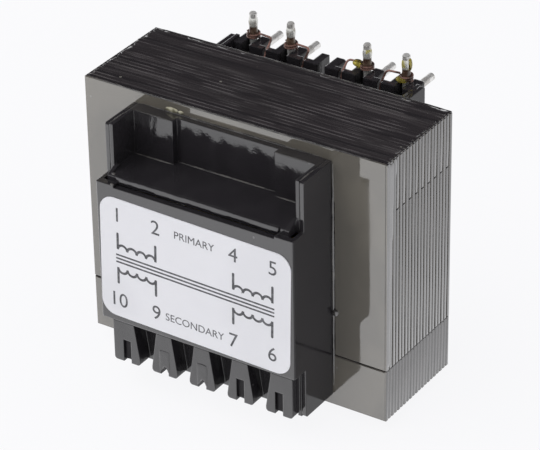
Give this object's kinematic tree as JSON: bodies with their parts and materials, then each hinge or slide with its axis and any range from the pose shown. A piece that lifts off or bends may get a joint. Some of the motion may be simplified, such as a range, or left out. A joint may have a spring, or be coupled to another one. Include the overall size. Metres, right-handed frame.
{
  "type": "pcb transformer",
  "caption": "Open-frame transformer for a circuit board: interleaved laminated core, moulded bobbin with comb rails, slide-in plastic covers and L-shaped solder pins.",
  "frame": {"origin": "on the board's surface, at the centre of the pin pattern, where the board-side cover's plate seats", "axes": "+X along the pin rows, +Y from the secondary row to the primary row, +Z away from the board, out of the label"},
  "size_m": [0.0384, 0.0354, 0.0331],
  "materials": {
    "lamination": "varnished silicon steel, semi-gloss",
    "bobbin_plastic": "black glass-filled nylon under dip varnish",
    "cover_plastic": "black moulding under dip varnish",
    "enamelled_copper": "enamelled copper wire",
    "tape": "polyester tape",
    "tinned_pin": "dull tin plate",
    "solder": "solder with flux",
    "label_film": "white printed film"
  },
  "bodies": {
    "root": {"e_laminations_up": "lamination", "e_laminations_down": "lamination", "i_laminations_up": "lamination", "i_laminations_down": "lamination", "bobbin": "bobbin_plastic", "label_cover": "cover_plastic", "board_cover": "cover_plastic", "label": "label_film", "primary_winding_inner": "enamelled_copper", "primary_layer_tape": "tape", "primary_winding_outer": "enamelled_copper", "primary_outer_tape": "tape", "secondary_winding_inner": "enamelled_copper", "secondary_layer_tape": "tape", "secondary_winding_outer": "enamelled_copper", "secondary_outer_tape": "tape", "primary_pin_1": "tinned_pin", "primary_solder_1": "solder", "primary_lead_1": "enamelled_copper", "primary_pin_2": "tinned_pin", "primary_solder_2": "solder", "primary_lead_2": "enamelled_copper", "primary_pin_3": "tinned_pin", "primary_solder_3": "solder", "primary_lead_3": "enamelled_copper", "primary_pin_4": "tinned_pin", "primary_solder_4": "solder", "primary_lead_4": "enamelled_copper", "secondary_pin_1": "tinned_pin", "secondary_solder_1": "solder", "secondary_lead_1": "enamelled_copper", "secondary_pin_2": "tinned_pin", "secondary_solder_2": "solder", "secondary_lead_2": "enamelled_copper", "secondary_pin_3": "tinned_pin", "secondary_solder_3": "solder", "secondary_lead_3": "enamelled_copper", "secondary_pin_4": "tinned_pin", "secondary_solder_4": "solder", "secondary_lead_4": "enamelled_copper"}
  },
  "joints": []
}
